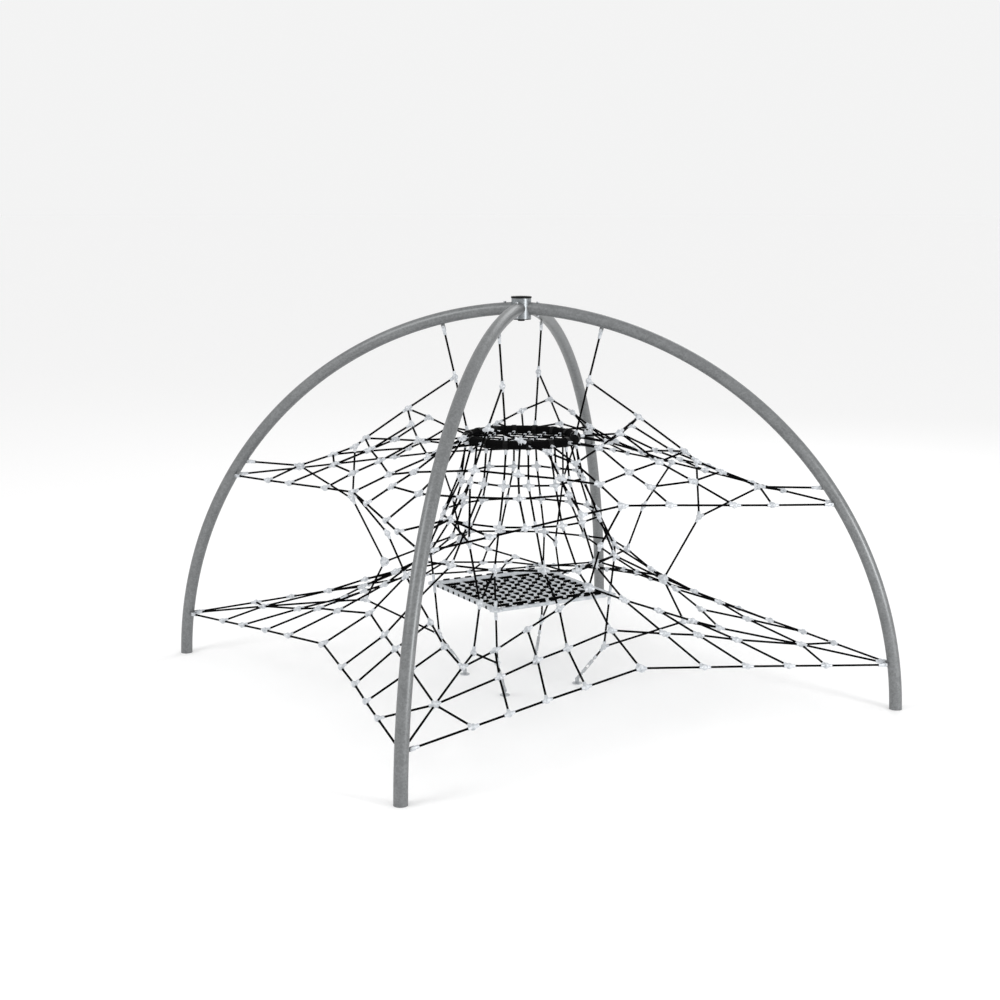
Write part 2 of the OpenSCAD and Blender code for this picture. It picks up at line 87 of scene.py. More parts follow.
class Slot(Enum):
    """The record's material slots."""

    TUBE = "galvanised_tube"
    HUB = "galvanised_hub"
    COVER = "black_cover"
    FITTING = "steel_fitting"
    ALLOY = "cast_alloy"
    RING = "wrapped_ring"
    ROPE = "net_rope"


# ---- node helpers


def put(tree: bpy.types.NodeTree, kind: str, settings: dict[str, Any] | None = None,
        sockets: dict[Any, Any] | None = None) -> bpy.types.Node:
    """Adds one node to a tree.

    Args:
        tree: The shader or geometry tree.
        kind: The node's type name.
        settings: Properties of the node.
        sockets: Input by name or number: a value, or the output socket that feeds it.

    Returns:
        The node.
    """
    node = tree.nodes.new(kind)
    for name, value in (settings or {}).items():
        setattr(node, name, value)
    for key, value in (sockets or {}).items():
        if isinstance(value, bpy.types.NodeSocket):
            tree.links.new(value, node.inputs[key])
        else:
            node.inputs[key].default_value = value
    return node


def placed(name: str, data: Any) -> bpy.types.Object:
    """Makes an object of a mesh, lamp or camera and puts it into the scene."""
    thing = bpy.data.objects.new(name, data)
    bpy.context.scene.collection.objects.link(thing)
    return thing


def linear(colour: str) -> tuple[float, float, float, float]:
    """Turns an sRGB hex colour such as "#8a8c8e" into linear RGBA."""
    parts = [int(colour[i:i + 2], 16) / 255 for i in (1, 3, 5)]
    steps = (c / 12.92 if c <= 0.04045 else ((c + 0.055) / 1.055) ** 2.4 for c in parts)
    return tuple(steps) + (1.0,)


def maths(tree: bpy.types.NodeTree, operation: str, *values: Any) -> bpy.types.NodeSocket:
    """Adds a Math node and returns its output."""
    return put(tree, "ShaderNodeMath", {"operation": operation}, dict(enumerate(values))).outputs[0]


def ramp(tree: bpy.types.NodeTree, source: bpy.types.NodeSocket, stops: Sequence[tuple[float, str]]
         ) -> bpy.types.NodeSocket:
    """Adds a colour ramp with the given (position, sRGB hex) stops and returns its colour."""
    node = put(tree, "ShaderNodeValToRGB", sockets={"Fac": source})
    while len(node.color_ramp.elements) < len(stops):
        node.color_ramp.elements.new(0.5)
    for element, (position, colour) in zip(node.color_ramp.elements, stops):
        element.position = position
        element.color = linear(colour)
    return node.outputs["Color"]


def spread(tree: bpy.types.NodeTree, source: bpy.types.NodeSocket, low: float, high: float
           ) -> bpy.types.NodeSocket:
    """Maps 0..1 to low..high and returns the result."""
    return put(tree, "ShaderNodeMapRange", sockets={
        "Value": source, "To Min": low, "To Max": high}).outputs["Result"]


def bump(tree: bpy.types.NodeTree, height: bpy.types.NodeSocket, depth: float, strength: float
         ) -> bpy.types.NodeSocket:
    """Adds a bump of the given depth in metres and returns its normal."""
    return put(tree, "ShaderNodeBump", sockets={
        "Strength": strength, "Distance": depth, "Height": height}).outputs["Normal"]


def noise(tree: bpy.types.NodeTree, where: bpy.types.NodeSocket, size: float, detail: float = 3.0
          ) -> bpy.types.NodeSocket:
    """Adds noise with patches of the given size in metres and returns its value."""
    return put(tree, "ShaderNodeTexNoise", sockets={
        "Vector": where, "Scale": 1 / size, "Detail": detail}).outputs["Fac"]


# ---- finishes


@dataclass(frozen=True)
class Finish:
    """What every finish has: a name, a shader and the place on the piece."""

    name: str
    roughness: float = 0.5
    metallic: float = 0.0
    specular: float = 0.5

    def start(self) -> tuple[bpy.types.Material, bpy.types.NodeTree, bpy.types.Node, Any]:
        """Makes the material.

        Returns:
            The material, its tree, its shader and the Object coordinates.
        """
        material = bpy.data.materials.new(self.name)
        material.use_nodes = True
        tree = material.node_tree
        shader = tree.nodes["Principled BSDF"]
        shader.inputs["Metallic"].default_value = self.metallic
        shader.inputs["Roughness"].default_value = self.roughness
        shader.inputs["Specular IOR Level"].default_value = self.specular
        place = put(tree, "ShaderNodeTexCoord").outputs["Object"]
        return material, tree, shader, place


@dataclass(frozen=True)
class Galvanised(Finish):
    """Hot-dip zinc on steel tube: soft crystals of two greys, cloudy patches and a satin gleam."""

    dark: str = "#6d6f70"
    light: str = "#828485"
    crystal: float = 14 * MM
    crystal_share: float = 0.45
    cloud: float = 160 * MM
    skin: float = 5 * MM
    skin_depth: float = 0.12 * MM

    def make(self) -> bpy.types.Material:
        """Builds the material and returns it."""
        material, tree, shader, place = self.start()
        cells = put(tree, "ShaderNodeTexVoronoi", {"feature": "F1"}, {
            "Vector": place, "Scale": 1 / self.crystal, "Randomness": 1.0})
        grain = put(tree, "ShaderNodeSeparateColor", sockets={"Color": cells.outputs["Color"]})
        clouds = noise(tree, place, self.cloud, 4.0)
        mixed = maths(tree, "ADD", maths(tree, "MULTIPLY", grain.outputs[0], self.crystal_share),
                      maths(tree, "MULTIPLY", clouds, 1 - self.crystal_share))
        colour = ramp(tree, mixed, [(0.2, self.dark), (0.75, self.light)])
        tree.links.new(colour, shader.inputs["Base Color"])
        tree.links.new(spread(tree, mixed, self.roughness - 0.07, self.roughness + 0.09),
                       shader.inputs["Roughness"])
        fine = noise(tree, place, self.skin, 2.0)
        tree.links.new(bump(tree, fine, self.skin_depth, 0.5), shader.inputs["Normal"])
        return material


@dataclass(frozen=True)
class PressedAlloy(Finish):
    """Tumbled aluminium: a pale even grey with a fine pebbled skin and duller hollows."""

    dark: str = "#adb2b7"
    light: str = "#d8dbdf"
    pebble: float = 1.6 * MM
    pebble_depth: float = 0.1 * MM
    stain: float = 30 * MM

    def make(self) -> bpy.types.Material:
        """Builds the material and returns it."""
        material, tree, shader, place = self.start()
        stains = noise(tree, place, self.stain, 5.0)
        colour = ramp(tree, stains, [(0.3, self.dark), (0.62, self.light)])
        tree.links.new(colour, shader.inputs["Base Color"])
        tree.links.new(spread(tree, stains, self.roughness + 0.1, self.roughness - 0.06),
                       shader.inputs["Roughness"])
        pebbles = noise(tree, place, self.pebble, 2.0)
        tree.links.new(bump(tree, pebbles, self.pebble_depth, 0.45), shader.inputs["Normal"])
        return material


@dataclass(frozen=True)
class MouldedPlastic(Finish):
    """Injection-moulded cover: one deep colour, a leathery micro-texture and pale scuffs."""

    colour: str = "#060606"
    scuff: str = "#141415"
    grain: float = 1.2 * MM
    grain_depth: float = 0.08 * MM
    scuff_size: float = 35 * MM

    def make(self) -> bpy.types.Material:
        """Builds the material and returns it."""
        material, tree, shader, place = self.start()
        marks = noise(tree, place, self.scuff_size, 6.0)
        tree.links.new(ramp(tree, marks, [(0.55, self.colour), (0.8, self.scuff)]),
                       shader.inputs["Base Color"])
        cells = put(tree, "ShaderNodeTexVoronoi", {"feature": "SMOOTH_F1"}, {
            "Vector": place, "Scale": 1 / self.grain})
        tree.links.new(bump(tree, cells.outputs["Distance"], self.grain_depth, 0.5),
                       shader.inputs["Normal"])
        return material


@dataclass(frozen=True)
class LaidCord(Finish):
    """Twisted polyester: near-black, matt strands of slanting yarns; dust noise and a painted sheen
    lighten the yarn crests, and painted shade darkens the grooves between them.
    """

    colour: str = "#020202"
    # Lighter colour, given only on the yarn crests: dust, plus a painted sheen
    dust_and_crest_sheen: str = "#070708"
    yarn: float = 2.4 * MM
    yarn_depth: float = 0.35 * MM
    round_length: float = 56 * MM
    dust_size: float = 60 * MM

    def make(self) -> bpy.types.Material:
        """Builds the material and returns it."""
        material, tree, shader, place = self.start()
        lay = put(tree, "ShaderNodeAttribute", {"attribute_name": "lay"})
        along = put(tree, "ShaderNodeSeparateXYZ", sockets={"Vector": lay.outputs["Vector"]})
        slant = maths(tree, "SUBTRACT", along.outputs["X"],
                      maths(tree, "MULTIPLY", along.outputs["Y"], self.round_length))
        turns = maths(tree, "MULTIPLY", slant, math.tau / self.yarn)
        yarns = maths(tree, "ABSOLUTE", maths(tree, "SINE", turns))
        dust = noise(tree, place, self.dust_size, 5.0)
        # Painted sheen and shade: the lighter colour goes only on the yarn crests, scaled by dust
        # noise; the grooves between yarns keep the darker colour
        shade = maths(tree, "MULTIPLY", yarns, dust)
        tree.links.new(ramp(tree, shade, [(0.1, self.colour), (0.7, self.dust_and_crest_sheen)]),
                       shader.inputs["Base Color"])
        tree.links.new(bump(tree, yarns, self.yarn_depth, 0.6), shader.inputs["Normal"])
        return material


# Hot-dip galvanised tube: a mid grey that is cloudy from near and even from afar
TUBE = Galvanised("galvanised_tube", roughness=0.4, metallic=0.55)
# Galvanised casting: brighter, with smaller crystals
HUB = Galvanised("galvanised_casting", roughness=0.34, metallic=0.75,
                 dark="#74787a", light="#94989b", crystal=9 * MM, cloud=60 * MM)
# Bright zinc plate on screws and pins: a fine skin with a sharp gleam
ZINC = PressedAlloy("bright_zinc_fitting", roughness=0.3, metallic=0.8,
                    dark="#a4a7aa", light="#c6c9cc", pebble=0.9 * MM, stain=18 * MM)
# Pressed aluminium connectors: pale and soft; the pebbles are coarser than real, to show
ALLOY = PressedAlloy("pressed_aluminium", roughness=0.42, metallic=0.35)
# Moulded polyamide clips: the same pale grey without the metal's gleam
CLIP = PressedAlloy("polyamide_clip_grey", roughness=0.48, metallic=0.0,
                    dark="#aaafb5", light="#c6cace", pebble=2.2 * MM, stain=45 * MM)
# Injection-moulded black cover: a leathery, nearly lightless black
COVER = MouldedPlastic("moulded_black_cover", roughness=0.5, specular=0.12)
# Laid polyester rope and cord: matt black, with dust and a painted sheen on the yarn crests and
# painted shade in the grooves; the yarns are coarser than real, to show
ROPE = LaidCord("net_rope_polyester", roughness=0.85, specular=0.03)
WINDING = LaidCord("wound_cord_polyester", roughness=0.7, specular=0.05,
                   colour="#020202", dust_and_crest_sheen="#09090a", yarn=2.0 * MM, round_length=38 * MM)


# ---- mesh helpers


def merged_copy(node: bpy.types.Object, name: str, smooth: float = 32.0, bevel: float = 0.0
                ) -> bpy.types.Object:
    """Makes a clean copy of a CAD node's mesh.

    Args:
        node: The CAD node, whose own mesh stays as it is.
        name: The new object's name.
        smooth: Edges sharper than this many degrees stay crisp.
        bevel: Width of a rounded edge in metres, or 0 for none.

    Returns:
        The new object, at the origin.
    """
    mesh = node.data.copy()
    mesh.name = name
    mesh.materials.clear()
    work = bmesh.new()
    work.from_mesh(mesh)
    bmesh.ops.remove_doubles(work, verts=work.verts, dist=MERGE)
    bmesh.ops.dissolve_degenerate(work, dist=NO_LENGTH, edges=work.edges)
    if bevel:
        flat = [e for e in work.edges if len(e.link_faces) == 2
                and e.calc_face_angle(0.0) < FLAT_ANGLE]
        bmesh.ops.dissolve_edges(work, edges=flat, use_verts=True, use_face_split=False)
        hard = [e for e in work.edges if len(e.link_faces) == 2
                and e.calc_face_angle(0.0) > math.radians(smooth)]
        bmesh.ops.bevel(work, geom=hard, offset=bevel, segments=3, profile=0.5, affect="EDGES",
                        clamp_overlap=True)
        bmesh.ops.triangulate(work, faces=[f for f in work.faces if len(f.verts) > 4])
    work.to_mesh(mesh)
    work.free()
    if "custom_normal" in mesh.attributes:
        mesh.attributes.remove(mesh.attributes["custom_normal"])
    mesh.shade_smooth()
    mesh.set_sharp_from_angle(angle=math.radians(smooth))
    return placed(name, mesh)


def islands(mesh: bpy.types.Mesh) -> list[np.ndarray]:
    """Splits a CAD mesh into its loose solids.

    Args:
        mesh: The mesh of loose triangles.

    Returns:
        The vertex places of each solid, in metres.
    """
    work = bmesh.new()
    work.from_mesh(mesh)
    bmesh.ops.remove_doubles(work, verts=work.verts, dist=MERGE)
    found, seen = [], set()
    for first in work.verts:
        if first in seen:
            continue
        seen.add(first)
        group, queue = [], [first]
        while queue:
            vertex = queue.pop()
            group.append(vertex.co[:])
            for edge in vertex.link_edges:
                other = edge.other_vert(vertex)
                if other not in seen:
                    seen.add(other)
                    queue.append(other)
        found.append(np.array(group))
    work.free()
    return found


def bar_axes(node: bpy.types.Object) -> list[Axis]:
    """Finds the two end centres of every round bar in a CAD node.

    Args:
        node: A node whose solids are straight round bars.

    Returns:
        One pair of points for each bar.
    """
    axes = []
    for points in islands(node.data):
        middle = points.mean(0)
        direction = np.linalg.svd(points - middle, full_matrices=False)[2][0]
        depth = (points - middle) @ direction
        ends = []
        for mark in (depth.min(), depth.max()):
            rim = points[np.abs(depth - mark) < MM]
            ends.append(Vector((rim.min(0) + rim.max(0)) / 2))
        axes.append((ends[0], ends[1]))
    return axes


def line_mesh(name: str, axes: Sequence[Axis]) -> bpy.types.Mesh:
    """Makes a mesh with one loose edge for each axis."""
    mesh = bpy.data.meshes.new(name)
    points = [p for axis in axes for p in axis]
    mesh.from_pydata([p[:] for p in points], [(i, i + 1) for i in range(0, len(points), 2)], [])
    return mesh


def grown(name: str, base: bpy.types.Mesh, tree: bpy.types.NodeTree, sizes: dict[str, Any]
          ) -> bpy.types.Object:
    """Runs a geometry tree on a mesh and keeps the result as a plain mesh.

    Args:
        name: The new object's name.
        base: The mesh that the tree starts from.
        tree: The geometry tree.
        sizes: The tree's inputs by name.

    Returns:
        The new object, at the origin, with no modifier.
    """
    seed = placed(name + "_seed", base)
    modifier = seed.modifiers.new("grow", "NODES")
    modifier.node_group = tree
    for item in tree.interface.items_tree:
        if item.in_out == "INPUT" and item.name in sizes:
            modifier[item.identifier] = sizes[item.name]
    graph = bpy.context.evaluated_depsgraph_get()
    mesh = bpy.data.meshes.new_from_object(seed.evaluated_get(graph), depsgraph=graph)
    mesh.name = name
    bpy.data.objects.remove(seed)
    return placed(name, mesh)


# ---- geometry trees


class Tree:
    """A geometry tree with named inputs that ends in Realize Instances and Set Material."""

    def __init__(self, name: str, sizes: dict[str, str]) -> None:
        """Starts the tree.

        Args:
            name: The tree's name.
            sizes: Each input's name and its kind: Float, Int or Material.
        """
        self.tree = bpy.data.node_groups.new(name, "GeometryNodeTree")
        face = self.tree.interface
        face.new_socket("Geometry", in_out="INPUT", socket_type="NodeSocketGeometry")
        for size, kind in sizes.items():
            face.new_socket(size, in_out="INPUT", socket_type="NodeSocket" + kind)
        face.new_socket("Geometry", in_out="OUTPUT", socket_type="NodeSocketGeometry")
        self.source = put(self.tree, "NodeGroupInput")

    def size(self, name: str) -> bpy.types.NodeSocket:
        """Returns a named input's socket."""
        return self.source.outputs[name]

    def add(self, kind: str, settings: dict[str, Any] | None = None,
            sockets: dict[Any, Any] | None = None) -> bpy.types.Node:
        """Adds one node, as put does."""
        return put(self.tree, kind, settings, sockets)

    def maths(self, operation: str, *values: Any) -> bpy.types.NodeSocket:
        """Adds a Math node and returns its output."""
        return maths(self.tree, operation, *values)

    def keep(self, geometry: bpy.types.NodeSocket, value: bpy.types.NodeSocket) -> bpy.types.Node:
        """Captures a number on a curve's points; outputs are 0 the curve and 1 the number."""
        node = self.tree.nodes.new("GeometryNodeCaptureAttribute")
        node.capture_items.new("FLOAT", "Value")
        self.tree.links.new(geometry, node.inputs[0])
        self.tree.links.new(value, node.inputs[1])
        return node

    def end(self, mesh: bpy.types.NodeSocket, along: Any, round_it: Any) -> bpy.types.NodeTree:
        """Stores the lay of the surface, then closes the tree.

        Args:
            mesh: The swept mesh.
            along: Metres along the piece.
            round_it: Turns round its section.

        Returns:
            The finished tree.
        """
        lay = self.add("ShaderNodeCombineXYZ", sockets={"X": along, "Y": round_it})
        stored = self.add("GeometryNodeStoreNamedAttribute",
                          {"data_type": "FLOAT_VECTOR", "domain": "POINT"},
                          {"Geometry": mesh, "Name": "lay", "Value": lay.outputs[0]})
        smooth = self.add("GeometryNodeSetShadeSmooth", sockets={"Geometry": stored.outputs[0]})
        real = self.add("GeometryNodeRealizeInstances", sockets={"Geometry": smooth.outputs[0]})
        dressed = self.add("GeometryNodeSetMaterial", sockets={
            "Geometry": real.outputs[0], "Material": self.size("Material")})
        self.add("NodeGroupOutput", sockets={"Geometry": dressed.outputs[0]})
        return self.tree


def rope_tree() -> bpy.types.NodeTree:
    """Builds the tree that turns loose edges into laid ropes of several strands."""
    t = Tree("laid_rope", {"Diameter": "Float", "Lay": "Float", "Ring Spacing": "Float",
                           "Strand Depth": "Float", "Strands": "Int", "Material": "Material"})
    curve = t.add("GeometryNodeMeshToCurve", sockets={"Mesh": t.size("Geometry")})
    rings = t.add("GeometryNodeResampleCurve", {"mode": "LENGTH"},
                  {"Curve": curve.outputs[0], "Length": t.size("Ring Spacing")})
    spot = t.add("GeometryNodeSplineParameter")
    turn = t.maths("DIVIDE", t.maths("MULTIPLY", spot.outputs["Length"], math.tau), t.size("Lay"))
    twisted = t.add("GeometryNodeSetCurveTilt", sockets={"Curve": rings.outputs[0], "Tilt": turn})
    path = t.keep(twisted.outputs[0], spot.outputs["Length"])
    radius = t.maths("DIVIDE", t.size("Diameter"), 2.0)
    valley = t.maths("MULTIPLY", radius, t.maths("SUBTRACT", 1.0, t.size("Strand Depth")))
    star = t.add("GeometryNodeCurveStar", sockets={
        "Points": t.size("Strands"), "Inner Radius": valley, "Outer Radius": radius})
    section = t.keep(star.outputs["Curve"], spot.outputs["Factor"])
    swept = t.add("GeometryNodeCurveToMesh", sockets={
        "Curve": path.outputs[0], "Profile Curve": section.outputs[0], "Fill Caps": True})
    return t.end(swept.outputs[0], path.outputs[1], section.outputs[1])


def collar_tree() -> bpy.types.NodeTree:
    """Builds the tree that turns loose edges into ribbed rims, round a sleeve's mouth."""
    t = Tree("pressed_rim", {"Diameter": "Float", "Rings": "Int", "Ribs": "Float",
                             "Rib Depth": "Float", "Sides": "Int", "Material": "Material"})
    curve = t.add("GeometryNodeMeshToCurve", sockets={"Mesh": t.size("Geometry")})
    rings = t.add("GeometryNodeResampleCurve", {"mode": "COUNT"},
                  {"Curve": curve.outputs[0], "Count": t.size("Rings")})
    spot = t.add("GeometryNodeSplineParameter")
    wave = t.maths("ABSOLUTE", t.maths("SINE", t.maths(
        "MULTIPLY", spot.outputs["Factor"], t.maths("MULTIPLY", t.size("Ribs"), math.pi))))
    width = t.maths("ADD", t.maths("SUBTRACT", 1.0, t.size("Rib Depth")),
                    t.maths("MULTIPLY", wave, t.size("Rib Depth")))
    waisted = t.add("GeometryNodeSetCurveRadius", sockets={
        "Curve": rings.outputs[0], "Radius": width})
    path = t.keep(waisted.outputs[0], spot.outputs["Length"])
    circle = t.add("GeometryNodeCurvePrimitiveCircle", sockets={
        "Resolution": t.size("Sides"), "Radius": t.maths("DIVIDE", t.size("Diameter"), 2.0)})
    section = t.keep(circle.outputs[0], spot.outputs["Factor"])
    swept = t.add("GeometryNodeCurveToMesh", sockets={
        "Curve": path.outputs[0], "Profile Curve": section.outputs[0], "Fill Caps": True,
        "Scale": t.add("GeometryNodeInputRadius").outputs[0]})
    return t.end(swept.outputs[0], path.outputs[1], section.outputs[1])


RING_GIRTH = 0.26


def winding_tree() -> bpy.types.NodeTree:
    """Builds the tree that makes a ring wound with one long cord."""
    t = Tree("wound_ring", {"Ring Radius": "Float", "Section": "Float", "Height": "Float",
                            "Turns": "Float", "Depth": "Float", "Rings": "Int", "Sides": "Int",
                            "Material": "Material"})
    spot = t.add("GeometryNodeSplineParameter")
    ring = t.add("GeometryNodeCurvePrimitiveCircle", sockets={
        "Resolution": t.size("Rings"), "Radius": t.size("Ring Radius")})
    path = t.keep(ring.outputs[0], spot.outputs["Factor"])
    circle = t.add("GeometryNodeCurvePrimitiveCircle", sockets={
        "Resolution": t.size("Sides"), "Radius": t.maths("DIVIDE", t.size("Section"), 2.0)})
    section = t.keep(circle.outputs[0], spot.outputs["Factor"])
    tube = t.add("GeometryNodeCurveToMesh", sockets={
        "Curve": path.outputs[0], "Profile Curve": section.outputs[0]})
    coil = t.maths("SUBTRACT", t.maths("MULTIPLY", path.outputs[1], t.size("Turns")),
                   section.outputs[1])
    ridge = t.maths("ABSOLUTE", t.maths("SINE", t.maths("MULTIPLY", coil, math.pi)))
    sink = t.maths("MULTIPLY", t.maths("SUBTRACT", ridge, 1.0), t.size("Depth"))
    normal = t.add("GeometryNodeInputNormal")
    offset = t.add("ShaderNodeVectorMath", {"operation": "SCALE"}, {
        0: normal.outputs[0], "Scale": sink})
    wound = t.add("GeometryNodeSetPosition", sockets={
        "Geometry": tube.outputs[0], "Offset": offset.outputs[0]})
    rise = t.add("ShaderNodeCombineXYZ", sockets={"Z": t.size("Height")})
    placed = t.add("GeometryNodeTransform", sockets={
        "Geometry": wound.outputs[0], "Translation": rise.outputs[0]})
    length = t.maths("MULTIPLY", section.outputs[1], RING_GIRTH)
    return t.end(placed.outputs[0], length, path.outputs[1])


# ---- sub-assemblies


@dataclass
class Assembly:
    """A group of pieces that is dressed together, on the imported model."""

    frame: dict[str, Any]
    made: dict[Finish, bpy.types.Material]

    def material(self, finish: Finish) -> bpy.types.Material:
        """Returns a finish's material, made once."""
        if finish not in self.made:
            self.made[finish] = finish.make()
        return self.made[finish]

    def node(self, name: str) -> bpy.types.Object:
        """Returns a CAD node's object."""
        return self.frame["nodes"][name]

    def settle(self, piece: bpy.types.Object, node: str, slot: Slot, replace: bool = True) -> None:
        """Fixes a finished piece to its body.

        Args:
            piece: The piece, at the origin.
            node: The CAD node whose body carries it.
            slot: The record's material slot; not used.
            replace: Whether it stands for that node.
        """
        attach(piece, self.node(node)["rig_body"])
        if replace:
            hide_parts(node)
        LOG.info("%s: %d faces", piece.name, len(piece.data.polygons))

    def dress(self, node: str, finish: Finish, slot: Slot, smooth: float = 32.0,
              bevel: float = 0.0) -> bpy.types.Object:
        """Replaces a CAD node by its clean copy in a finish.

        Args:
            node: The CAD node.
            finish: Its finish.
            slot: The record's material slot.
            smooth: Edges sharper than this many degrees stay crisp.
            bevel: Width of its rounded edges in metres.

        Returns:
            The copy.
        """
        piece = merged_copy(self.node(node), node + "_finished", smooth, bevel)
        piece.data.materials.append(self.material(finish))
        self.settle(piece, node, slot)
        return piece


@dataclass
class Legs(Assembly):
    """The four bent tubes with their welded lugs."""

    sides: Sequence[str] = ("east", "north", "west", "south")

    def build(self) -> None:
        """Dresses the tubes, the shackles on their lugs and the pins."""
        for side in self.sides:
            self.dress("leg_" + side, TUBE, Slot.TUBE, 28.0)
        self.dress("leg_shackles", ALLOY, Slot.ALLOY)
        self.dress("leg_shackle_pins", ZINC, Slot.FITTING)


@dataclass
class Crown(Assembly):
    """The drum that the legs meet in, its covers and its bolts."""

    skirt_depth: float = 8 * MM
    skirt_gap: float = 0.4 * MM
    skirt_steps: int = 96

    def build(self) -> None:
        """Dresses the drum, both covers and the bolts."""
        self.skirt()
        self.dress("crown_drum", HUB, Slot.HUB, 28.0)
        self.dress("crown_top_cover", COVER, Slot.COVER, 40.0, 1.5 * MM)
        self.dress("crown_bottom_cover", COVER, Slot.COVER, 40.0, 1.5 * MM)
        self.dress("crown_bolts", ZINC, Slot.FITTING, 40.0, 0.8 * MM)

    def skirt(self) -> None:
        """Turns the top cover's skirt, which reaches down round the drum."""
        low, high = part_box("crown_top_cover")
        outside = (high.x - low.x) / 2
        inside = self.drum_radius(low.z) + self.skirt_gap
        top, foot = low.z, low.z - self.skirt_depth
        outline = [(inside, top), (inside, foot), (outside - MM, foot), (outside, foot + MM),
                   (outside, top)]
        mesh = bpy.data.meshes.new("crown_top_cover_skirt")
        work = bmesh.new()
        rings = [[work.verts.new((r * math.cos(a), r * math.sin(a), z)) for r, z in outline]
                 for a in (math.tau * i / self.skirt_steps for i in range(self.skirt_steps))]
        for ring, after in zip(rings, rings[1:] + rings[:1]):
            for i in range(len(outline)):
                j = (i + 1) % len(outline)
                work.faces.new((ring[i], ring[j], after[j], after[i]))
        bmesh.ops.recalc_face_normals(work, faces=work.faces)
        work.to_mesh(mesh)
        work.free()
        mesh.shade_smooth()
        mesh.set_sharp_from_angle(angle=math.radians(30))
        mesh.materials.append(self.material(COVER))
        piece = placed("crown_top_cover_skirt", mesh)
        self.settle(piece, "crown_top_cover", Slot.COVER, replace=False)

    def drum_radius(self, top: float) -> float:
        """Returns the drum's radius just under its top rim."""
        rim = [v.co for v in self.node("crown_drum").data.vertices if abs(v.co.z - top) < MM]
        return max(math.hypot(co.x, co.y) for co in rim)


@dataclass
class Net(Assembly):
    """All net ropes, as laid strands, and the pressed connectors between them."""

    ropes: Sequence[str] = (
        "hanger_ropes", "canopy_ridge_ropes", "canopy_edge_ropes", "canopy_row_ropes",
        "canopy_spoke_ropes", "drop_ropes", "column_uprights", "column_hoops",
        "lower_ridge_ropes", "lower_edge_ropes", "lower_row_ropes", "lower_spoke_ropes",
        "mat_hanging_ropes", "tie_ropes")
    connectors: Sequence[str] = (
        "canopy_ridge_knots", "canopy_edge_knots", "canopy_mesh_knots", "drop_knots",
        "column_knots", "lower_ridge_knots", "lower_edge_knots", "lower_mesh_knots",
        "lower_inner_knots", "corner_plates", "tie_knots")
    diameter: float = 20 * MM
    lay: float = 112 * MM
    strands: int = 6
    strand_depth: float = 0.1
    ring_spacing: float = 10 * MM
    rim_diameter: float = 31.5 * MM
    rim_length: float = 20 * MM
    rim_start: float = 0.4 * MM
    rim_rings: int = 6
    rim_ribs: float = 2.0
    rim_rib_depth: float = 0.12
    rim_sides: int = 12

    def build(self) -> None:
        """Sweeps the ropes, dresses the connectors and presses a rim on each sleeve."""
        tree = rope_tree()
        rims = []
        for name in self.ropes:
            axes = bar_axes(self.node(name))
            rope = grown(name + "_laid", line_mesh(name, axes), tree, {
                "Diameter": self.diameter, "Lay": self.lay, "Ring Spacing": self.ring_spacing,
                "Strand Depth": self.strand_depth, "Strands": self.strands,
                "Material": self.material(ROPE)})
            self.settle(rope, name, Slot.ROPE)
            rims += [rim for axis in axes for rim in self.rims(axis)]
        for name in self.connectors:
            self.dress(name, ALLOY, Slot.ALLOY, 30.0)
        pressed = grown("sleeve_rims", line_mesh("sleeve_rims", rims), collar_tree(), {
            "Diameter": self.rim_diameter, "Rings": self.rim_rings, "Ribs": self.rim_ribs,
            "Rib Depth": self.rim_rib_depth, "Sides": self.rim_sides,
            "Material": self.material(ALLOY)})
        self.settle(pressed, self.connectors[0], Slot.ALLOY, replace=False)

    def rims(self, axis: Axis) -> list[Axis]:
        """Returns the two stretches of sleeve that hold a rope's ends."""
        out = []
        for end, other in (axis, axis[::-1]):
            away = (end - other).normalized()
            far = self.rim_start + self.rim_length
            out.append((end + away * self.rim_start, end + away * far))
        return out


@dataclass
class Nest(Assembly):
    """The round seat under the crown: a wound ring, its clamps and its own small net."""

    winding: float = 12 * MM
    winding_depth: float = 3.2 * MM
    rings_a_turn: int = 5
    sides: int = 24
    rope_diameter: float = 16 * MM
    rope_lay: float = 96 * MM
    rope_spacing: float = 9 * MM
    strands: int = 6
    strand_depth: float = 0.16
    band_thickness: float = 6 * MM

    def build(self) -> None:
        """Winds the ring and dresses the black clamp bands, the inner net and its clips."""
        low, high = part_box("nest_ring")
        section = high.z - low.z
        radius = (high.x - low.x - section) / 2
        turns = round(math.tau * radius / self.winding)
        start = bpy.data.meshes.new("nest_ring_start")
        ring = grown("nest_ring_wound", start, winding_tree(), {
            "Ring Radius": radius, "Section": section, "Height": (low.z + high.z) / 2,
            "Turns": float(turns), "Depth": self.winding_depth,
            "Rings": turns * self.rings_a_turn, "Sides": self.sides,
            "Material": self.material(WINDING)})
        self.settle(ring, "nest_ring", Slot.RING)
        clamps = self.dress("nest_clamps", ALLOY, Slot.ALLOY, 30.0)
        clamps.data.materials.append(self.material(COVER))
        ring_middle = Vector((0.0, 0.0, (low.z + high.z) / 2))
        for face in clamps.data.polygons:
            out = face.center - ring_middle
            off = math.hypot(math.hypot(out.x, out.y) - radius, out.z)
            face.material_index = int(off < section / 2 + self.band_thickness)
        self.dress("nest_net_clips", CLIP, Slot.ALLOY, 30.0)
        net = grown("nest_net_ropes_laid",
                    line_mesh("nest_net", bar_axes(self.node("nest_net_ropes"))), rope_tree(), {
                        "Diameter": self.rope_diameter, "Lay": self.rope_lay,
                        "Ring Spacing": self.rope_spacing, "Strand Depth": self.strand_depth,
                        "Strands": self.strands, "Material": self.material(ROPE)})
        self.settle(net, "nest_net_ropes", Slot.ROPE)


